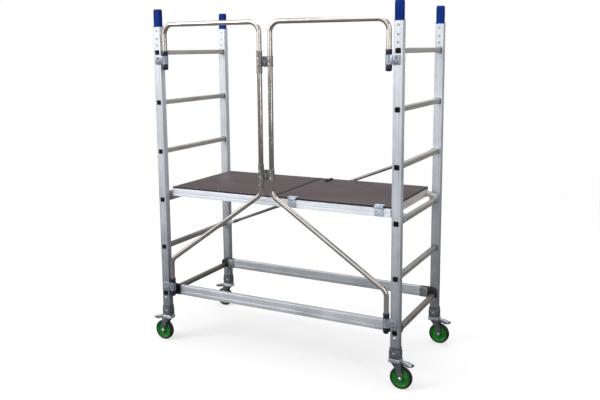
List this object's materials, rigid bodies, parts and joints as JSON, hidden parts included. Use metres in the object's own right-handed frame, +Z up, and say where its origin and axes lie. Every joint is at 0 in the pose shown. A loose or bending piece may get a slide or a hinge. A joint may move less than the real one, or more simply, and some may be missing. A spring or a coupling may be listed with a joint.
{
  "type": "frame scaffold section",
  "caption": "Foldable aluminium scaffold section: two ladder end frames on braked castors, bent-tube guard gate, hooked braces and a deck with trapdoor.",
  "frame": {"origin": "on the floor, at the centre of the footprint's bounding box", "axes": "+Z up, X along the deck between the two ladder frames, gate side towards -Y"},
  "size_m": [1.726, 0.8144, 2.07],
  "materials": {
    "upright_aluminium": "satin extruded, anodised",
    "rung_aluminium": "ribbed extruded, dull",
    "rail_aluminium": "satin extruded",
    "gate_tube_steel": "bright drawn tube",
    "diagonal_steel": "bright drawn tube",
    "bracket_steel": "grey zinc",
    "zinc_steel": "galvanised",
    "pedal_steel": "galvanised, pressed",
    "blue_plastic": "satin moulded",
    "black_plastic": "satin moulded",
    "wheel_plastic": "moulded, with a dark tread",
    "deck_plywood": "film-faced, anti-slip"
  },
  "bodies": {
    "frame": {"upright_fl": "upright_aluminium", "top_spigot_fl": "blue_plastic", "castor_stem_fl": "zinc_steel", "upright_fr": "upright_aluminium", "top_spigot_fr": "blue_plastic", "castor_stem_fr": "zinc_steel", "upright_rl": "upright_aluminium", "top_spigot_rl": "blue_plastic", "castor_stem_rl": "zinc_steel", "upright_rr": "upright_aluminium", "top_spigot_rr": "blue_plastic", "castor_stem_rr": "zinc_steel", "rung_l1": "rung_aluminium", "rung_l2": "rung_aluminium", "rung_l3": "rung_aluminium", "rung_l4": "rung_aluminium", "rung_l5": "rung_aluminium", "rung_l6": "rung_aluminium", "rung_r1": "rung_aluminium", "rung_r2": "rung_aluminium", "rung_r3": "rung_aluminium", "rung_r4": "rung_aluminium", "rung_r5": "rung_aluminium", "rung_r6": "rung_aluminium", "gate_leaf_l": "gate_tube_steel", "gate_bracket_lower_l": "bracket_steel", "gate_bracket_upper_l": "bracket_steel", "gate_leaf_r": "gate_tube_steel", "gate_bracket_lower_r": "bracket_steel", "gate_bracket_upper_r": "bracket_steel", "gate_hinge_lower": "bracket_steel", "gate_hinge_upper": "bracket_steel"},
    "castor_fl": {"castor_fork_fl": "zinc_steel", "wheel_axle_fl": "zinc_steel"},
    "wheel_fl": {"wheel_fl": "wheel_plastic"},
    "pedal_fl": {"brake_pedal_fl": "pedal_steel"},
    "castor_fr": {"castor_fork_fr": "zinc_steel", "wheel_axle_fr": "zinc_steel"},
    "wheel_fr": {"wheel_fr": "wheel_plastic"},
    "pedal_fr": {"brake_pedal_fr": "pedal_steel"},
    "castor_rl": {"castor_fork_rl": "zinc_steel", "wheel_axle_rl": "zinc_steel"},
    "wheel_rl": {"wheel_rl": "wheel_plastic"},
    "pedal_rl": {"brake_pedal_rl": "pedal_steel"},
    "castor_rr": {"castor_fork_rr": "zinc_steel", "wheel_axle_rr": "zinc_steel"},
    "wheel_rr": {"wheel_rr": "wheel_plastic"},
    "pedal_rr": {"brake_pedal_rr": "pedal_steel"},
    "front_brace": {"front_brace": "rail_aluminium", "front_brace_claw_l": "black_plastic", "front_brace_claw_r": "black_plastic"},
    "rear_brace": {"rear_brace": "rail_aluminium", "rear_brace_claw_l": "black_plastic", "rear_brace_claw_r": "black_plastic"},
    "rear_diagonal": {"rear_diagonal_brace": "diagonal_steel"},
    "deck": {"deck_frame": "rail_aluminium", "deck_board": "deck_plywood", "hatch_hinge": "zinc_steel"},
    "hatch": {"hatch_board": "deck_plywood"},
    "hatch_latch": {"hatch_latch": "black_plastic"}
  },
  "joints": [
    {"name": "castor_fl_swivel", "type": "hinge", "parent": "frame", "child": "castor_fl", "pos_m": [-0.76, -0.3398, 0.17], "axis": [0, 0, 1], "continuous": true},
    {"name": "wheel_fl_roll", "type": "hinge", "parent": "castor_fl", "child": "wheel_fl", "pos_m": [-0.793, -0.3398, 0.0625], "axis": [0, 1, 0], "continuous": true},
    {"name": "brake_fl_press", "type": "hinge", "parent": "castor_fl", "child": "pedal_fl", "pos_m": [-0.79, -0.3398, 0.148], "axis": [0, -1, 0], "range_deg": [0, 12]},
    {"name": "castor_fr_swivel", "type": "hinge", "parent": "frame", "child": "castor_fr", "pos_m": [0.76, -0.3398, 0.17], "axis": [0, 0, 1], "continuous": true},
    {"name": "wheel_fr_roll", "type": "hinge", "parent": "castor_fr", "child": "wheel_fr", "pos_m": [0.793, -0.3398, 0.0625], "axis": [0, 1, 0], "continuous": true},
    {"name": "brake_fr_press", "type": "hinge", "parent": "castor_fr", "child": "pedal_fr", "pos_m": [0.79, -0.3398, 0.148], "axis": [0, 1, 0], "range_deg": [0, 12]},
    {"name": "castor_rl_swivel", "type": "hinge", "parent": "frame", "child": "castor_rl", "pos_m": [-0.76, 0.3702, 0.17], "axis": [0, 0, 1], "continuous": true},
    {"name": "wheel_rl_roll", "type": "hinge", "parent": "castor_rl", "child": "wheel_rl", "pos_m": [-0.793, 0.3702, 0.0625], "axis": [0, 1, 0], "continuous": true},
    {"name": "brake_rl_press", "type": "hinge", "parent": "castor_rl", "child": "pedal_rl", "pos_m": [-0.79, 0.3702, 0.148], "axis": [0, -1, 0], "range_deg": [0, 12]},
    {"name": "castor_rr_swivel", "type": "hinge", "parent": "frame", "child": "castor_rr", "pos_m": [0.76, 0.3702, 0.17], "axis": [0, 0, 1], "continuous": true},
    {"name": "wheel_rr_roll", "type": "hinge", "parent": "castor_rr", "child": "wheel_rr", "pos_m": [0.793, 0.3702, 0.0625], "axis": [0, 1, 0], "continuous": true},
    {"name": "brake_rr_press", "type": "hinge", "parent": "castor_rr", "child": "pedal_rr", "pos_m": [0.79, 0.3702, 0.148], "axis": [0, 1, 0], "range_deg": [0, 12]},
    {"name": "front_brace_unhook", "type": "slide", "parent": "frame", "child": "front_brace", "axis": [0, 0, 1], "range_m": [0, 0.12]},
    {"name": "rear_brace_unhook", "type": "slide", "parent": "frame", "child": "rear_brace", "axis": [0, 0, 1], "range_m": [0, 0.12]},
    {"name": "rear_diagonal_unhook", "type": "slide", "parent": "frame", "child": "rear_diagonal", "axis": [0, 0, 1], "range_m": [0, 0.08]},
    {"name": "deck_unhook", "type": "slide", "parent": "frame", "child": "deck", "axis": [0, 0, 1], "range_m": [0, 0.05]},
    {"name": "hatch_open", "type": "hinge", "parent": "deck", "child": "hatch", "pos_m": [0.385, -0.32, 0.988], "axis": [1, 0, 0], "range_deg": [0, 92]},
    {"name": "hatch_latch_turn", "type": "hinge", "parent": "hatch", "child": "hatch_latch", "pos_m": [0.075, 0.2532, 0.997], "axis": [0, 0, 1], "range_deg": [0, 90]}
  ]
}
